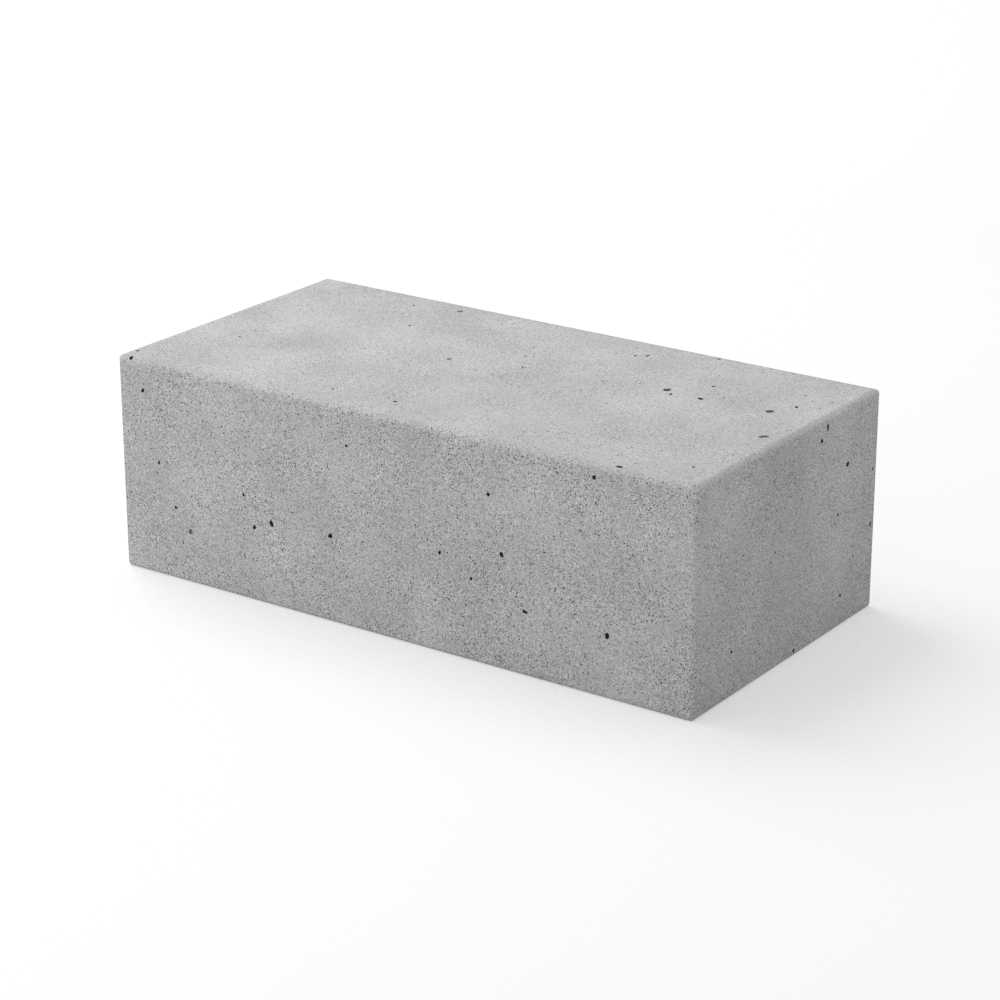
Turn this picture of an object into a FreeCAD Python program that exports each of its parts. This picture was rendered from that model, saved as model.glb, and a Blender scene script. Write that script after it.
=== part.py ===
"""A straight firebrick, nine by four and a half by three inches, lying on its bed.

The brick is one pressed and fired block: a rectangle padded to its thickness,
with every arris rounded a little. Its own frame has +Z up, the length along X and the
width along Y, and the origin in the middle of the bed that the brick lies on.
"""

import FreeCAD, Part
import os

import Sketcher

MM_PER_INCH = 25.4

# Driving dimensions in millimetres, by the name that the spreadsheet gives them.
SIZES = {
    "brick_length": 9.0 * MM_PER_INCH,
    "brick_width": 4.5 * MM_PER_INCH,
    "brick_thickness": 3.0 * MM_PER_INCH,
    "arris_radius": 1.4,
}

NODE_NAME = "firebrick"


def add_sizes(doc):
    """The driving dimensions as plain numbers, one named cell below another."""
    sheet = doc.addObject("Spreadsheet::Sheet", "Sizes")
    for row, (alias, value) in enumerate(SIZES.items(), start=1):
        sheet.set(f"A{row}", alias)
        sheet.set(f"B{row}", f"{value:.3f}")
        sheet.setAlias(f"B{row}", alias)
    doc.recompute()
    return sheet


def origin_plane(body, role):
    """The body's own origin plane with that role."""
    return next(plane for plane in body.Origin.OriginFeatures if plane.Role == role)


def add_bed_outline(body):
    """A rectangle of the brick's length and width, centred on the origin."""
    sketch = body.newObject("Sketcher::SketchObject", "BedOutline")
    sketch.AttachmentSupport = [(origin_plane(body, "XY_Plane"), "")]
    sketch.MapMode = "FlatFace"

    half_length = SIZES["brick_length"] / 2
    half_width = SIZES["brick_width"] / 2
    corners = [
        FreeCAD.Vector(-half_length, -half_width, 0),
        FreeCAD.Vector(half_length, -half_width, 0),
        FreeCAD.Vector(half_length, half_width, 0),
        FreeCAD.Vector(-half_length, half_width, 0),
    ]
    for start, end in zip(corners, corners[1:] + corners[:1], strict=True):
        sketch.addGeometry(Part.LineSegment(start, end), False)

    front, right, back, left = range(4)
    start_point, end_point = 1, 2
    for side, following in ((front, right), (right, back), (back, left), (left, front)):
        sketch.addConstraint(Sketcher.Constraint("Coincident", side, end_point, following, start_point))
    for side in (front, back):
        sketch.addConstraint(Sketcher.Constraint("Horizontal", side))
    for side in (right, left):
        sketch.addConstraint(Sketcher.Constraint("Vertical", side))

    sketch_origin = (-1, 1)
    sketch.addConstraint(
        Sketcher.Constraint("Symmetric", front, start_point, back, start_point, *sketch_origin)
    )
    long_side = sketch.addConstraint(
        Sketcher.Constraint("DistanceX", front, start_point, front, end_point, SIZES["brick_length"])
    )
    short_side = sketch.addConstraint(
        Sketcher.Constraint("DistanceY", right, start_point, right, end_point, SIZES["brick_width"])
    )
    sketch.renameConstraint(long_side, "outline_length")
    sketch.renameConstraint(short_side, "outline_width")
    sketch.setExpression("Constraints.outline_length", "Sizes.brick_length")
    sketch.setExpression("Constraints.outline_width", "Sizes.brick_width")
    return sketch


def add_block(body, outline):
    """The outline padded upwards to the brick's thickness."""
    block = body.newObject("PartDesign::Pad", "Block")
    block.Profile = outline
    block.setExpression("Length", "Sizes.brick_thickness")
    outline.Visibility = False
    return block


def round_arrises(body, block):
    """All twelve edges of the block, rounded as the mould and the kiln leave them."""
    arrises = body.newObject("PartDesign::Fillet", "Arrises")
    arrises.Base = (block, [f"Edge{number}" for number in range(1, len(block.Shape.Edges) + 1)])
    arrises.setExpression("Radius", "Sizes.arris_radius")
    return arrises


def add_firebrick(doc):
    """The brick's body, from its bed outline to its rounded arrises."""
    body = doc.addObject("PartDesign::Body", "Firebrick")
    body.Label = NODE_NAME
    body.Placement = FreeCAD.Placement(FreeCAD.Vector(0, 0, 0), FreeCAD.Rotation())
    outline = add_bed_outline(body)
    block = add_block(body, outline)
    doc.recompute()
    body.Tip = round_arrises(body, block)
    doc.recompute()
    return body


def check(doc, body):
    """Stops the script if a feature failed, or if the brick isn't one solid of the right size."""
    for item in doc.Objects:
        if "Invalid" in item.State or "Error" in item.State:
            raise RuntimeError(f"{item.Name} failed: {item.State}")
    shape = body.Shape
    if shape.isNull() or not shape.isValid() or len(shape.Solids) != 1:
        raise RuntimeError(f"{body.Label} is not one valid solid")
    box = shape.BoundBox
    expected = (SIZES["brick_length"], SIZES["brick_width"], SIZES["brick_thickness"])
    for measured, wanted in zip((box.XLength, box.YLength, box.ZLength), expected, strict=True):
        if abs(measured - wanted) > 0.01:
            raise RuntimeError(f"{body.Label} measures {measured:.3f} mm where {wanted:.3f} mm is wanted")


def main():
    """Builds the document, checks it and writes the brick's STEP file."""
    doc = FreeCAD.newDocument("FirebrickStraight")
    add_sizes(doc)
    body = add_firebrick(doc)
    check(doc, body)
    os.makedirs("parts", exist_ok=True)
    body.Shape.exportStep(f"parts/{body.Label}.step")
    box = body.Shape.BoundBox
    print(f"{body.Label}: {box.XLength:.1f} x {box.YLength:.1f} x {box.ZLength:.1f} mm, "
          f"lowest {box.ZMin:.2f}, volume {body.Shape.Volume / 1000:.1f} cm3")


main()
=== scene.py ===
"""A firebrick as a pressed and fired block: its skin, its pores, its fired clay and a small studio.

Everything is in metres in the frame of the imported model: the length along X, the width
along Y, +Z up, and the origin in the middle of the bed that the brick lies on.
"""

import math
import random

import bmesh
import bpy
from bpy.props import FloatProperty, FloatVectorProperty, IntProperty, PointerProperty
from bpy.types import Operator, Panel, PropertyGroup
from mathutils import Matrix, Vector, noise


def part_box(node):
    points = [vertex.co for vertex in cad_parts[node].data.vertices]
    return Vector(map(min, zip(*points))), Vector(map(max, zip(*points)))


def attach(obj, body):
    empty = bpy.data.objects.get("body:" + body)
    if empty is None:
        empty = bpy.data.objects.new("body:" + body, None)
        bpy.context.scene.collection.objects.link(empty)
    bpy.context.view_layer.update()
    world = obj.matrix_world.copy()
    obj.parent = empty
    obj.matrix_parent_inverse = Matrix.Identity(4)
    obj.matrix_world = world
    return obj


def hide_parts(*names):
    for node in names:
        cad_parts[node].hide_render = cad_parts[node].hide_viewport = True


bl_info = {
    "name": "Firebrick",
    "version": (1, 0, 0),
    "blender": (4, 5, 0),
    "location": "View3D > Sidebar > Firebrick",
    "description": "Builds a straight firebrick with its pores and fired clay, on a plain studio floor",
    "category": "Add Mesh",
}

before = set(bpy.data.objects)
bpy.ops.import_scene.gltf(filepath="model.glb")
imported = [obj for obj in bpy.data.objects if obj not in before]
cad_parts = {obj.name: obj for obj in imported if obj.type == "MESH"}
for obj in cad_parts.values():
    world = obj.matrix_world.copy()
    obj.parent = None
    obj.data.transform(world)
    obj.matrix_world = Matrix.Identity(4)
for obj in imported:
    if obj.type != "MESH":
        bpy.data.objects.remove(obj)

NODE = "firebrick"
BODY = "root"
PIECE = "firebrick_fired"

MM = 0.001
SKIN, OPEN, FILLED = 0, 1, 2
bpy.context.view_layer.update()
LOW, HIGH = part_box(NODE)
SIDES = HIGH - LOW
MIDDLE = (LOW + HIGH) / 2


# ---------------------------------------------------------------------------------------------
# Sizes and colours that a user would change
# ---------------------------------------------------------------------------------------------


def length(name, description, default, least=0.0):
    """A property in metres."""
    return FloatProperty(name=name, description=description, default=default, min=least,
                         subtype="DISTANCE", unit="LENGTH", precision=5)


def share(name, description, default):
    """A property from 0 to 1."""
    return FloatProperty(name=name, description=description, default=default, min=0.0, max=1.0,
                         subtype="FACTOR")


def colour(name, description, default):
    """A colour in scene-linear red, green and blue."""
    return FloatVectorProperty(name=name, description=description, default=default, size=3,
                               min=0.0, max=1.0, subtype="COLOR")


class FirebrickBlockSettings(PropertyGroup):
    """The block's skin."""

    arris_radius: length("Arris radius", "Rounding of the twelve arrises", 1.4 * MM)
    top_softness: length("Top softness", "How far the shading of the top arrises fades into the faces",
                         3.0 * MM)
    facet: length("Facet", "Width of the facets that the flat sides are made of", 9.5 * MM, 1 * MM)
    arris_segments: IntProperty(name="Arris segments", description="Facets across each rounded arris",
                                default=8, min=2)


class FirebrickPoreSettings(PropertyGroup):
    """The pores that are cut into the skin."""

    pore_spacing: length("Pore spacing", "Mean distance between the larger pores", 32 * MM, 1 * MM)
    pore_size: length("Pore size", "Mean width of the open pores", 1.25 * MM)
    filled_pore_size: length("Filled pore size", "Mean width of the pores that clay dust fills", 2.2 * MM)
    filled_share: share("Filled share", "Share of the larger pores that are filled", 0.12)
    pit_spacing: length("Pit spacing", "Mean distance between the smallest pits", 7.9 * MM, 1 * MM)
    pit_size: length("Pit size", "Mean width of the smallest pits", 0.38 * MM)
    seed: IntProperty(name="Seed", description="Changes where the pores and the pits are", default=7)


class FirebrickClaySettings(PropertyGroup):
    """The fired clay."""

    clay: colour("Clay", "Mean colour of the fired clay", (0.61, 0.61, 0.61))
    # Painted shade: the open pore's dark wall colour adds shade to the cut hollow, on top of the real
    # shade the hole itself casts.
    pore: colour("Open pore", "Dark wall of an open pore", (0.075, 0.075, 0.075))
    # Painted shade: the filled pore's grey wall, darker than the clay, paints shade into its shallow
    # hollow.
    filled_pore_painted_shade: colour("Filled pore", "Grey wall of a pore that clay dust fills", (0.2, 0.2, 0.2))
    grain_size: length("Grain size", "Width of the clay's grains", 0.3 * MM)
    grain_contrast: share("Grain contrast", "How much the grains differ from each other", 0.55)
    bed_grain: share("Bed grain", "How much of that contrast the two beds keep", 0.66)
    end_grain: share("End grain", "How much of that contrast the two ends keep", 0.9)
    speck_spacing: length("Speck spacing", "Distance between the small dark specks", 0.68 * MM)
    cloud_size: length("Cloud size", "Width of the soft lighter and darker patches", 26 * MM)


class FirebrickStageSettings(PropertyGroup):
    """The camera, the lamps and the floor."""

    azimuth: FloatProperty(name="Azimuth", description="Camera's turn about the brick, 0 in front",
                           default=math.radians(34.94), subtype="ANGLE", unit="ROTATION")
    elevation: FloatProperty(name="Elevation", description="Camera's height above the horizon",
                             default=math.radians(20.38), subtype="ANGLE", unit="ROTATION")
    distance: length("Distance", "From the camera to the brick's middle", 0.9884)
    aside: FloatProperty(name="Aside", description="How far the camera is moved to its right",
                         default=0.00249, subtype="DISTANCE", unit="LENGTH", precision=5)
    lower: FloatProperty(name="Lower", description="How far the camera is moved down",
                         default=0.00688, subtype="DISTANCE", unit="LENGTH", precision=5)
    lens: FloatProperty(name="Lens", description="Focal length in millimetres, on a sensor of 36",
                        default=105.98, min=1.0)
    floor: colour("Floor", "Colour of the floor as it lights the brick", (0.6, 0.6, 0.6))
    ambient: FloatProperty(name="Ambient", description="Strength of the even light from all round",
                           default=0.548, min=0.0)


# ---------------------------------------------------------------------------------------------
# Mesh helpers
# ---------------------------------------------------------------------------------------------


def new_piece(name, bm, materials):
    """An object at the origin that holds the bmesh, with its materials in order."""
    mesh = bpy.data.meshes.new(name)
    bm.to_mesh(mesh)
    bm.free()
    for material in materials:
        mesh.materials.append(material)
    piece = bpy.data.objects.new(name, mesh)
    bpy.context.scene.collection.objects.link(piece)
    return piece


CUT_REACH = 1e-7  # how near a loop's plane a vertex counts as on it
SHARP_ANGLE = math.radians(35)  # where a pore meets the skin


def loop_places(low, high, settings):
    """Where loops go round the block along one axis: near both ends, and evenly between."""
    first, last = low + settings.top_softness, high - settings.top_softness
    steps = max(1, round((last - first) / settings.facet))
    return [first + (last - first) * step / steps for step in range(steps + 1)]


def make_block(settings, materials):
    """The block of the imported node's size, with every arris rounded and its sides in small facets."""
    bm = bmesh.new()
    bmesh.ops.create_cube(bm, size=1.0)
    bmesh.ops.scale(bm, vec=SIDES, verts=bm.verts)
    bmesh.ops.translate(bm, vec=MIDDLE, verts=bm.verts)
    bmesh.ops.bevel(bm, geom=bm.edges[:], offset=settings.arris_radius, offset_type="OFFSET",
                    segments=settings.arris_segments, profile=0.5, affect="EDGES", material=-1,
                    clamp_overlap=True)
    for axis in range(3):
        direction = Vector([float(axis == other) for other in range(3)])
        for place in loop_places(LOW[axis], HIGH[axis], settings):
            bmesh.ops.bisect_plane(bm, geom=bm.verts[:] + bm.edges[:] + bm.faces[:], dist=CUT_REACH,
                                   plane_co=direction * place, plane_no=direction)
    bmesh.ops.recalc_face_normals(bm, faces=bm.faces)
    return new_piece(PIECE, bm, materials)


def past(value, low, high, inset):
    """How far a value lies outside the range drawn in at both ends, as a signed part of that inset."""
    if value < low + inset:
        return (value - low - inset) / inset
    return max(0.0, value - high + inset) / inset


def skin_normal(point, settings):
    """The outward direction of the rounded block at a point of its skin."""
    radius, top = settings.arris_radius, settings.top_softness
    rise = max(0.0, point.z - HIGH.z + top) / top
    around = radius + (top - radius) * rise
    foot = min(0.0, past(point.z, LOW.z, HIGH.z, radius))
    return Vector((past(point.x, LOW.x, HIGH.x, around), past(point.y, LOW.y, HIGH.y, around),
                   rise + foot)).normalized()


def soften_arrises(mesh, settings):
    """Gives the skin the normals of a rounded block and leaves the pores their own."""
    mesh.set_sharp_from_angle(angle=SHARP_ANGLE)
    normals = [corner.vector.copy() for corner in mesh.corner_normals]
    for polygon in mesh.polygons:
        if polygon.material_index == SKIN:
            for loop in polygon.loop_indices:
                point = mesh.vertices[mesh.loops[loop].vertex_index].co
                normals[loop] = skin_normal(point, settings)
    mesh.normals_split_custom_set(normals)


# ---------------------------------------------------------------------------------------------
# Pores
# ---------------------------------------------------------------------------------------------


class Face:
    """One flat side of the block: its middle, its outward normal and its two directions."""

    def __init__(self, across, up):
        self.across = Vector(across)
        self.up = Vector(up)
        self.normal = self.across.cross(self.up)
        self.width = abs(SIDES.dot(self.across))
        self.height = abs(SIDES.dot(self.up))
        self.middle = MIDDLE + self.normal * abs(SIDES.dot(self.normal)) / 2

    def place(self, across, up):
        """The point that far from the face's middle."""
        return self.middle + self.across * across + self.up * up


FACES = (
    Face((1, 0, 0), (0, 0, 1)),  # front
    Face((0, 1, 0), (0, 0, 1)),  # right end
    Face((-1, 0, 0), (0, 0, 1)),  # back
    Face((0, -1, 0), (0, 0, 1)),  # left end
    Face((1, 0, 0), (0, 1, 0)),  # top bed
    Face((-1, 0, 0), (0, 1, 0)),  # bottom bed
)

# A pore is cut by a pebble: a sphere with two sizes of lump, each as a part of the sphere's radius
# and with how close together its lumps are. A filled pore is lumpier and shallower.
BROAD_LUMPS, BROAD_CLOSENESS = 0.34, 1.1
FINE_LUMPS, FINE_CLOSENESS = 0.16, 2.6
NOISE_REACH = 50  # how far from the noise's origin a pebble may take its lumps
LUMPINESS = {OPEN: 1.0, FILLED: 1.6}
DEPTH = {OPEN: 1.1, FILLED: 0.3}  # as a part of the pore's width
SUNK = 0.13  # how far under the face the pebble's middle is, as a part of its depth
CLEARANCE = 0.65  # how near two pores' middles may be, as a part of their two widths
WIDTH_SPREAD = (0.7, 1.3)  # a pore's width as a part of the mean width
STRETCH = (1.1, 1.6)  # a pore's length as a part of its width
PIT_WIDTH_SPREAD = (0.6, 1.5)
PIT_STRETCH = (1.0, 1.6)
LEAST_LEFT = 0.99  # the smallest part of the block's volume that the pores may leave


class PoreCutters:
    """Gathers the pores' shapes in one bmesh, to cut them all at once."""

    def __init__(self, seed):
        self.bm = bmesh.new()
        self.rng = random.Random(seed)
        self.spare = bpy.data.meshes.new("Pebble")
        self.taken = []

    def is_free(self, face, place, width):
        """True if a pore that wide would touch none of those already there."""
        seat = face.place(*place)
        return all((seat - other).length > (width + other_width) * CLEARANCE
                   for other, other_width in self.taken)

    def add(self, face, place, length, width, turn, wall, subdivisions=3):
        """A lumpy pebble with most of itself under the face. One for a filled pore is shallow."""
        rng = self.rng
        self.taken.append((face.place(*place), length))
        pebble = bmesh.new()
        bmesh.ops.create_icosphere(pebble, subdivisions=subdivisions, radius=1.0)
        seat = Vector([rng.uniform(-NOISE_REACH, NOISE_REACH) for _ in range(3)])
        for vert in pebble.verts:
            broad = BROAD_LUMPS * noise.noise(vert.co * BROAD_CLOSENESS + seat)
            fine = FINE_LUMPS * noise.noise(vert.co * FINE_CLOSENESS + seat)
            vert.co *= 1 + LUMPINESS[wall] * (broad + fine)
        depth = width * DEPTH[wall]
        swell = Matrix.Diagonal((length / 2, width / 2, depth / 2, 1))
        axes = Matrix((face.across, face.up, face.normal)).transposed().to_4x4()
        seated = Matrix.Translation(face.place(*place) - face.normal * SUNK * depth)
        bmesh.ops.transform(pebble, matrix=seated @ axes @ Matrix.Rotation(turn, 4, "Z") @ swell,
                            verts=pebble.verts)
        for facet in pebble.faces:
            facet.material_index = wall
            facet.smooth = True
        pebble.to_mesh(self.spare)
        pebble.free()
        self.bm.from_mesh(self.spare)

    def piece(self, materials):
        """The pores' shapes as one object."""
        bpy.data.meshes.remove(self.spare)
        return new_piece("PoreCutters", self.bm, materials)


def scattered_pores(cutters, face, settings):
    """As many larger pores as the face's size asks for. A few of them are wide, shallow and filled."""
    rng = cutters.rng
    for _ in range(round(face.width * face.height / settings.pore_spacing ** 2)):
        wall = FILLED if rng.random() < settings.filled_share else OPEN
        mean_width = settings.filled_pore_size if wall == FILLED else settings.pore_size
        width = mean_width * rng.uniform(*WIDTH_SPREAD)
        length = width * rng.uniform(*STRETCH)
        across = rng.uniform(-0.5, 0.5) * face.width
        up = rng.uniform(-0.5, 0.5) * face.height
        if cutters.is_free(face, (across, up), length):
            cutters.add(face, (across, up), length, width, rng.uniform(0, math.pi), wall)


def small_pits(cutters, face, settings):
    """The smallest pits, scattered evenly."""
    rng = cutters.rng
    for _ in range(round(face.width * face.height / settings.pit_spacing ** 2)):
        across = rng.uniform(-0.5, 0.5) * face.width
        up = rng.uniform(-0.5, 0.5) * face.height
        width = settings.pit_size * rng.uniform(*PIT_WIDTH_SPREAD)
        length = width * rng.uniform(*PIT_STRETCH)
        if cutters.is_free(face, (across, up), length):
            cutters.add(face, (across, up), length, width, rng.uniform(0, math.pi), OPEN, subdivisions=2)


def cut_away(piece, cutters):
    """Takes the cutters' shape out of the piece's mesh for good."""
    cut = piece.modifiers.new("Pores", "BOOLEAN")
    cut.operation = "DIFFERENCE"
    cut.solver = "MANIFOLD"
    cut.object = cutters
    bpy.context.view_layer.update()
    depsgraph = bpy.context.evaluated_depsgraph_get()
    mesh = bpy.data.meshes.new_from_object(piece.evaluated_get(depsgraph))
    piece.modifiers.clear()
    before = piece.data
    piece.data = mesh
    mesh.name = piece.name
    bpy.data.meshes.remove(before)
    spent = cutters.data
    bpy.data.objects.remove(cutters)
    bpy.data.meshes.remove(spent)
    check_closed(piece)


def check_closed(piece):
    """Raises an error if the piece is not one closed skin about as large as the block."""
    bm = bmesh.new()
    bm.from_mesh(piece.data)
    whole = all(edge.is_manifold for edge in bm.edges)
    part = bm.calc_volume() / (SIDES.x * SIDES.y * SIDES.z)
    bm.free()
    if not whole or not LEAST_LEFT < part < 1.0:
        raise RuntimeError(f"{piece.name} was not cut cleanly: closed {whole}, "
                           f"{part:.4f} of the block's volume")


# ---------------------------------------------------------------------------------------------
# Materials
# ---------------------------------------------------------------------------------------------


# Two unlike ways to mix a cell's colour into a number from 0 to 1.
SIZE_MIX = (61.7, 23.9, 87.1)
STRENGTH_MIX = (37.7, 91.3, 53.9)

# A spot's smallest radius and what chance adds to it, as parts of the spacing, and the part of the
# radius inside which it is whole. A higher faintness leaves more of the spots faint.
LEAST_SPOT, SPOT_SPREAD, SPOT_CORE, SPOT_FAINTNESS = 0.3, 0.13, 0.75, 2.0

# What each part of the clay's texture adds to its light. The patches are where grain is weak or strong.
SOFT_GRAIN, CRISP_GRAIN, GLINTS, CLOUDS = 0.95, 1.33, 0.5, 0.45
SPECK_DARKNESS, SPECK_DENT = 0.95, 0.8
WEAK_PATCH, STRONG_PATCH = 0.78, 1.22
PATCH_SIZE = 0.6  # as a part of the clouds' size
# Offsets that keep one texture from lying on another.
CLOUD_OFFSET, PATCH_OFFSET, GLINT_OFFSET = 31.7, 77.3, 13.3
# How deep under the beds and ends, in millimetres, their own contrast starts and is whole.
CHANGE_STARTS, CHANGE_ENDS = 1.4, 0.3
# The range of a noise texture that is carried to the ends of what it drives.
NOISE_LOW, NOISE_HIGH = 0.3, 0.7


class Tree:
    """A material's nodes. Sockets are fed by name: a socket is linked, anything else is set."""

    def __init__(self, name):
        self.material = bpy.data.materials.new(name)
        self.material.use_nodes = True
        self.nodes = self.material.node_tree.nodes
        self.links = self.material.node_tree.links
        self.nodes.clear()
        self.column = 0

    def add(self, kind, inputs=None, **settings):
        """A new node with these settings and these inputs, by the input's name or number."""
        node = self.nodes.new(kind)
        self.column += 1
        node.location = (220 * self.column, 0)
        for key, value in settings.items():
            setattr(node, key, value)
        for key, value in (inputs or {}).items():
            if isinstance(value, bpy.types.NodeSocket):
                self.links.new(value, node.inputs[key])
            else:
                node.inputs[key].default_value = value
        return node

    def maths(self, operation, *values):
        """One sum on one, two or three values."""
        return self.add("ShaderNodeMath", dict(enumerate(values)), operation=operation).outputs[0]

    def remap(self, value, low, high, to_low=0.0, to_high=1.0):
        """The value carried from one range to another and held there."""
        node = self.add("ShaderNodeMapRange", {"Value": value, "From Min": low, "From Max": high,
                                               "To Min": to_low, "To Max": to_high})
        return node.outputs["Result"]

    def places(self):
        """The piece's own coordinates, in millimetres."""
        coordinates = self.add("ShaderNodeTexCoord")
        return self.add("ShaderNodeVectorMath", {0: coordinates.outputs["Object"], "Scale": 1 / MM},
                        operation="SCALE").outputs[0]

    def chance(self, cells, mix):
        """A number from 0 to 1 for each cell of a Voronoi texture, even over the whole range.

        The three parts of a cell's colour are also where its point sits, so on a flat face they
        aren't even. Mixed in large amounts, they are.
        """
        mixed = self.add("ShaderNodeVectorMath", {0: cells.outputs["Color"], 1: mix},
                         operation="DOT_PRODUCT")
        return self.maths("FRACT", mixed.outputs["Value"])

    def moved(self, places, offset):
        """The places, that many millimetres along all three axes."""
        return self.add("ShaderNodeVectorMath", {0: places, 1: (offset, offset, offset)},
                        operation="ADD").outputs[0]

    def spots(self, places, spacing, offset=0.0):
        """Round spots at that mean spacing in millimetres: 0 outside them, and up to 1 inside each."""
        cells = self.add("ShaderNodeTexVoronoi", {"Vector": self.moved(places, offset),
                                                  "Scale": 1 / spacing})
        radius = self.maths("MULTIPLY_ADD", self.chance(cells, SIZE_MIX), SPOT_SPREAD, LEAST_SPOT)
        inside = self.remap(self.maths("DIVIDE", cells.outputs["Distance"], radius), 1.0, SPOT_CORE)
        depth = self.maths("POWER", self.chance(cells, STRENGTH_MIX), SPOT_FAINTNESS)
        return self.maths("MULTIPLY", inside, depth)

    def noise(self, places, size, detail=2.0, roughness=0.5, offset=0.0):
        """Soft noise whose features are that many millimetres wide, about 0.5 on average."""
        node = self.add("ShaderNodeTexNoise", {"Vector": self.moved(places, offset), "Scale": 1 / size,
                                               "Detail": detail, "Roughness": roughness})
        return node.outputs["Fac"]


def fired_clay(settings):
    """Dry fired clay: grains, small dark specks, soft clouds, and the relief that goes with them."""
    tree = Tree("FiredClay")
    places = tree.places()
    grain_mm = settings.grain_size / MM
    grain = tree.noise(places, grain_mm, detail=1.5, roughness=0.6)
    cloud = tree.noise(places, settings.cloud_size / MM, detail=3, roughness=0.5, offset=CLOUD_OFFSET)
    patch = tree.noise(places, settings.cloud_size / MM * PATCH_SIZE, detail=2, offset=PATCH_OFFSET)

    # How strongly the grain shows, which differs from patch to patch and is less on the beds and the ends.
    strength = tree.remap(patch, 0.35, 0.65, WEAK_PATCH, STRONG_PATCH)
    from_middle = tree.add("ShaderNodeVectorMath", {0: places, 1: MIDDLE / MM}, operation="SUBTRACT")
    out = tree.add("ShaderNodeVectorMath", {0: from_middle.outputs[0]}, operation="ABSOLUTE")
    out = tree.add("ShaderNodeSeparateXYZ", {0: out.outputs[0]})
    reach = SIDES / MM / 2
    bed = tree.remap(out.outputs["Z"], reach.z - CHANGE_STARTS, reach.z - CHANGE_ENDS, 1.0,
                     settings.bed_grain)
    end = tree.remap(out.outputs["X"], reach.x - CHANGE_STARTS, reach.x - CHANGE_ENDS, 1.0,
                     settings.end_grain)
    strength = tree.maths("MULTIPLY", strength, tree.maths("MULTIPLY", bed, end))
    soft = tree.maths("MULTIPLY", tree.maths("SUBTRACT", grain, 0.5),
                      settings.grain_contrast * SOFT_GRAIN)
    crumbs = tree.add("ShaderNodeTexVoronoi", {"Vector": places, "Scale": 1 / grain_mm})
    crisp = tree.maths("MULTIPLY", tree.maths("SUBTRACT", tree.chance(crumbs, STRENGTH_MIX), 0.5),
                       settings.grain_contrast * CRISP_GRAIN)
    grain_light = tree.maths("ADD", soft, crisp)

    speck_mm = settings.speck_spacing / MM
    speck = tree.spots(places, speck_mm)
    glint = tree.spots(places, speck_mm, offset=GLINT_OFFSET)

    cloud_light = tree.maths("MULTIPLY", tree.maths("SUBTRACT", cloud, 0.5), CLOUDS)
    grain_light = tree.maths("MULTIPLY_ADD", glint, GLINTS, grain_light)
    light = tree.maths("ADD", cloud_light, tree.maths("MULTIPLY_ADD", grain_light, strength, 1.0))
    darkening = tree.maths("MULTIPLY", speck, strength)
    light = tree.maths("MULTIPLY", light, tree.maths("MULTIPLY_ADD", darkening, -SPECK_DARKNESS, 1.0))
    tone = tree.add("ShaderNodeVectorMath", {0: tuple(settings.clay), "Scale": light}, operation="SCALE")

    height = tree.maths("SUBTRACT", grain, tree.maths("MULTIPLY", speck, SPECK_DENT))
    bump = tree.add("ShaderNodeBump", {"Height": height, "Strength": 0.35, "Distance": 0.15 * MM})
    roughness = tree.remap(grain, NOISE_LOW, NOISE_HIGH, 0.85, 0.97)
    finish(tree, tone.outputs[0], roughness, bump.outputs["Normal"])
    return tree.material


def pore_wall_painted_shade(name, tone, settings):
    """The wall of a pore, painted darker than the clay as shade in the hollow, lighter on its lumps and
    darker between them.
    """
    tree = Tree(name)
    places = tree.places()
    lumps = tree.noise(places, 2 * settings.grain_size / MM, detail=2)
    light = tree.remap(lumps, NOISE_LOW, NOISE_HIGH, 0.7, 1.3)
    shade = tree.add("ShaderNodeVectorMath", {0: tuple(tone), "Scale": light}, operation="SCALE")
    bump = tree.add("ShaderNodeBump", {"Height": lumps, "Strength": 0.5, "Distance": 0.1 * MM})
    roughness = tree.remap(lumps, NOISE_LOW, NOISE_HIGH, 0.9, 1.0)
    finish(tree, shade.outputs[0], roughness, bump.outputs["Normal"])
    return tree.material


def finish(tree, tone, roughness, normal):
    """The shader that the clay and the pores share."""
    shader = tree.add("ShaderNodeBsdfPrincipled", {"Base Color": tone, "Roughness": roughness,
                                                   "Normal": normal, "Specular IOR Level": 0.2})
    tree.add("ShaderNodeOutputMaterial", {"Surface": shader.outputs[0]})


SEEN_FLOOR = 0.75  # the grey that the camera sees lit
NEAR_GLOW, FAR_GLOW = 0.36, 0.6  # what is added to that grey near the brick and far from it
GLOW_RISES, GLOW_RISEN = 500, 1800  # millimetres from the brick
SPECKLE_SIZE = 40  # millimetres


def floor_material(tone):
    """A pale floor that the camera sees as white except where the brick shades it."""
    tree = Tree("StudioFloor")
    speckle = tree.noise(tree.places(), SPECKLE_SIZE, detail=2)
    light = tree.remap(speckle, NOISE_LOW, NOISE_HIGH, 0.98, 1.02)
    shade = tree.add("ShaderNodeVectorMath", {0: tuple(tone), "Scale": light}, operation="SCALE")
    matt = tree.add("ShaderNodeBsdfDiffuse", {"Color": shade.outputs[0]})
    pale = tree.add("ShaderNodeBsdfDiffuse", {"Color": (SEEN_FLOOR, SEEN_FLOOR, SEEN_FLOOR, 1)})
    reach = tree.add("ShaderNodeVectorMath", {0: tree.places()}, operation="LENGTH")
    glow_level = tree.remap(reach.outputs["Value"], GLOW_RISES, GLOW_RISEN, NEAR_GLOW, FAR_GLOW)
    glow = tree.add("ShaderNodeEmission", {"Color": (1, 1, 1, 1), "Strength": glow_level})
    both = tree.add("ShaderNodeAddShader", {0: pale.outputs[0], 1: glow.outputs[0]})
    path = tree.add("ShaderNodeLightPath")
    chosen = tree.add("ShaderNodeMixShader", {0: path.outputs["Is Camera Ray"], 1: matt.outputs[0],
                                              2: both.outputs[0]})
    tree.add("ShaderNodeOutputMaterial", {"Surface": chosen.outputs[0]})
    return tree.material


# ---------------------------------------------------------------------------------------------
# Studio
# ---------------------------------------------------------------------------------------------

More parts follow.
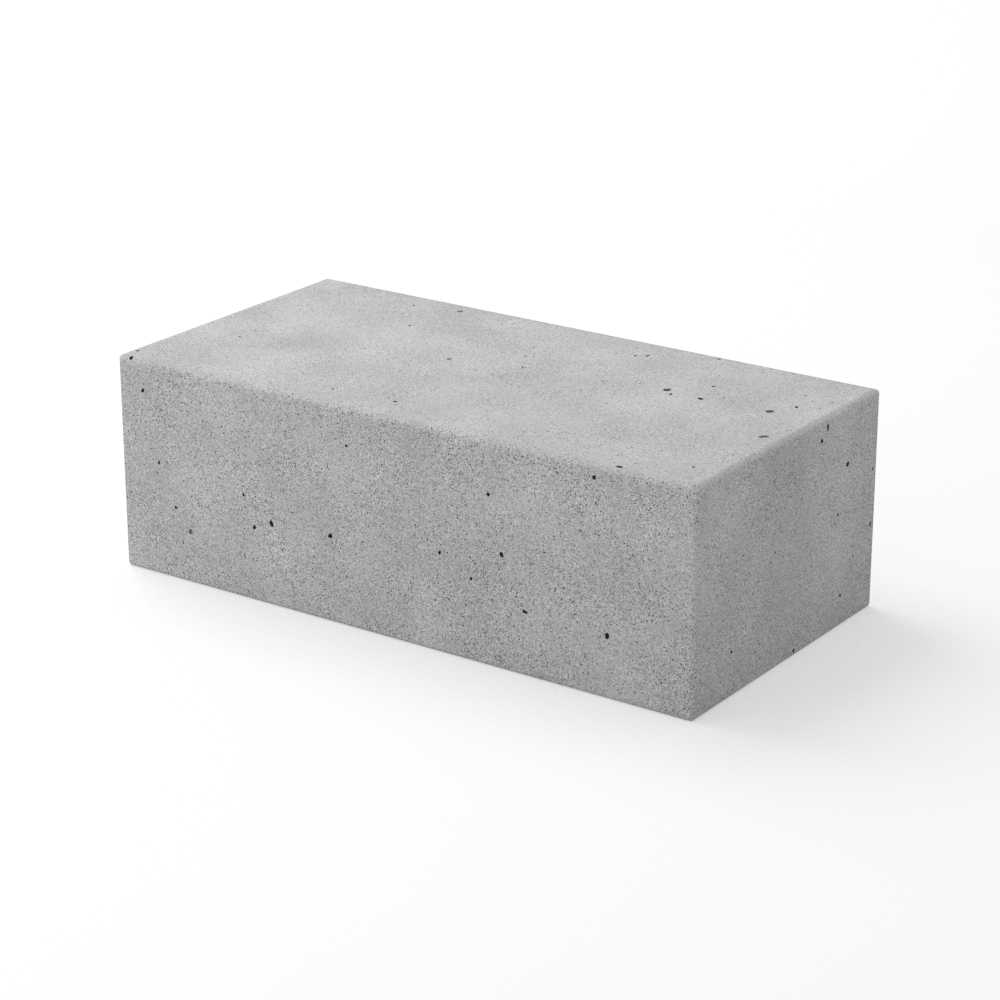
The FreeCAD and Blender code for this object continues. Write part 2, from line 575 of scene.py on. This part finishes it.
# Each lamp: its place, the width of its square, and its power in watts. All face the brick.
LAMPS = {
    "Side": ((-0.68, 0.12, 1.02), 0.9, 6.3),
    "Front": ((-0.24, -0.42, 0.17), 0.3, 0.29),
}


SENSOR_WIDTH = 36  # millimetres
NEAREST_SEEN, FARTHEST_SEEN = 0.01, 50
FLOOR_RADIUS = 3.0
FLOOR_SIDES = 96


def aimed(place, target):
    """A matrix at that place whose -Z points at the target, with Y up."""
    turn = (Vector(target) - Vector(place)).to_track_quat("-Z", "Y")
    return Matrix.LocRotScale(Vector(place), turn, None)


def add_camera(settings):
    """The camera, looking square at a point just beside the brick's middle."""
    back = Vector((math.sin(settings.azimuth) * math.cos(settings.elevation),
                   -math.cos(settings.azimuth) * math.cos(settings.elevation),
                   math.sin(settings.elevation)))
    right = Vector((math.cos(settings.azimuth), math.sin(settings.azimuth), 0))
    up = back.cross(right)
    data = bpy.data.cameras.new("Camera")
    data.lens = settings.lens
    data.sensor_width = SENSOR_WIDTH
    data.clip_start, data.clip_end = NEAREST_SEEN, FARTHEST_SEEN
    camera = bpy.data.objects.new("Camera", data)
    target = MIDDLE + right * settings.aside - up * settings.lower
    camera.matrix_world = aimed(target + back * settings.distance, target)
    bpy.context.scene.collection.objects.link(camera)
    bpy.context.scene.camera = camera


def add_lamps():
    """The square lamps, all turned to the brick's middle."""
    for name, (place, width, power) in LAMPS.items():
        data = bpy.data.lights.new(name, "AREA")
        data.shape = "SQUARE"
        data.size = width
        data.energy = power
        lamp = bpy.data.objects.new(name, data)
        lamp.matrix_world = aimed(place, MIDDLE)
        bpy.context.scene.collection.objects.link(lamp)


def add_world(strength):
    """Even grey light from all round, which the camera sees as white."""
    world = bpy.data.worlds.new("Studio")
    world.use_nodes = True
    nodes, links = world.node_tree.nodes, world.node_tree.links
    nodes.clear()
    path = nodes.new("ShaderNodeLightPath")
    seen = nodes.new("ShaderNodeMapRange")
    seen.inputs["To Min"].default_value = strength
    seen.inputs["To Max"].default_value = 1.0
    links.new(path.outputs["Is Camera Ray"], seen.inputs["Value"])
    light = nodes.new("ShaderNodeBackground")
    light.inputs["Color"].default_value = (1, 1, 1, 1)
    links.new(seen.outputs["Result"], light.inputs["Strength"])
    output = nodes.new("ShaderNodeOutputWorld")
    links.new(light.outputs[0], output.inputs["Surface"])
    bpy.context.scene.world = world


def add_floor(settings):
    """A round floor under the brick."""
    bm = bmesh.new()
    bmesh.ops.create_circle(bm, cap_ends=True, segments=FLOOR_SIDES, radius=FLOOR_RADIUS)
    bmesh.ops.translate(bm, vec=(0, 0, LOW.z), verts=bm.verts)
    new_piece("StudioFloor", bm, [floor_material(settings.floor)])


# ---------------------------------------------------------------------------------------------
# Operators, panel and registration
# ---------------------------------------------------------------------------------------------


class FIREBRICK_OT_block(Operator):
    """Makes the block with its rounded arrises and its fired clay."""

    bl_idname = "firebrick.block"
    bl_label = "Firebrick block"
    bl_options = {"REGISTER", "UNDO"}

    def execute(self, context):
        clay = context.scene.firebrick_clay
        # Both pore walls are painted darker than the clay, as shade in their hollows.
        materials = [fired_clay(clay), pore_wall_painted_shade("OpenPorePaintedShade", clay.pore, clay),
                     pore_wall_painted_shade("FilledPorePaintedShade", clay.filled_pore_painted_shade, clay)]
        block = make_block(context.scene.firebrick_block, materials)
        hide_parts(NODE)
        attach(block, BODY)
        return {"FINISHED"}


class FIREBRICK_OT_pores(Operator):
    """Cuts the pores and the small pits into the block."""

    bl_idname = "firebrick.pores"
    bl_label = "Firebrick pores"
    bl_options = {"REGISTER", "UNDO"}

    def execute(self, context):
        block = bpy.data.objects[PIECE]
        settings = context.scene.firebrick_pores
        cutters = PoreCutters(settings.seed)
        for face in FACES:
            scattered_pores(cutters, face, settings)
        for face in FACES:
            small_pits(cutters, face, settings)
        cut_away(block, cutters.piece(block.data.materials))
        soften_arrises(block.data, context.scene.firebrick_block)
        return {"FINISHED"}


class FIREBRICK_OT_stage(Operator):
    """Adds the camera, the lamps, the even light and the floor."""

    bl_idname = "firebrick.stage"
    bl_label = "Studio"
    bl_options = {"REGISTER", "UNDO"}

    def execute(self, context):
        settings = context.scene.firebrick_stage
        context.scene.view_settings.view_transform = "Standard"
        # The grain is as fine as a render's own noise, so a denoiser would rub it out.
        context.scene.cycles.use_denoising = False
        add_camera(settings)
        add_lamps()
        add_world(settings.ambient)
        add_floor(settings)
        return {"FINISHED"}


class FIREBRICK_PT_panel(Panel):
    """Lists the brick's settings and its operators."""

    bl_idname = "FIREBRICK_PT_panel"
    bl_label = "Firebrick"
    bl_space_type = "VIEW_3D"
    bl_region_type = "UI"
    bl_category = "Firebrick"

    def draw(self, context):
        for settings, operators in PANEL_ROWS:
            box = self.layout.box()
            group = getattr(context.scene, settings)
            for name in group.bl_rna.properties.keys():
                if name not in ("rna_type", "name"):
                    box.prop(group, name)
            for operator in operators:
                box.operator(operator.bl_idname)


SETTINGS = {
    "firebrick_block": FirebrickBlockSettings,
    "firebrick_pores": FirebrickPoreSettings,
    "firebrick_clay": FirebrickClaySettings,
    "firebrick_stage": FirebrickStageSettings,
}
OPERATORS = (FIREBRICK_OT_block, FIREBRICK_OT_pores, FIREBRICK_OT_stage)
PANEL_ROWS = (
    ("firebrick_clay", ()),
    ("firebrick_block", (FIREBRICK_OT_block,)),
    ("firebrick_pores", (FIREBRICK_OT_pores,)),
    ("firebrick_stage", (FIREBRICK_OT_stage,)),
)


def register():
    """Adds the classes and the scene's settings."""
    for cls in (*SETTINGS.values(), *OPERATORS, FIREBRICK_PT_panel):
        bpy.utils.register_class(cls)
    for name, group in SETTINGS.items():
        setattr(bpy.types.Scene, name, PointerProperty(type=group))


def unregister():
    """Removes the scene's settings and the classes."""
    for name in SETTINGS:
        delattr(bpy.types.Scene, name)
    for cls in (FIREBRICK_PT_panel, *OPERATORS, *SETTINGS.values()):
        bpy.utils.unregister_class(cls)


def main():
    """Builds the brick and its studio."""
    register()
    bpy.ops.firebrick.stage()
    bpy.ops.firebrick.block()
    bpy.ops.firebrick.pores()


if __name__ == "__main__":
    main()
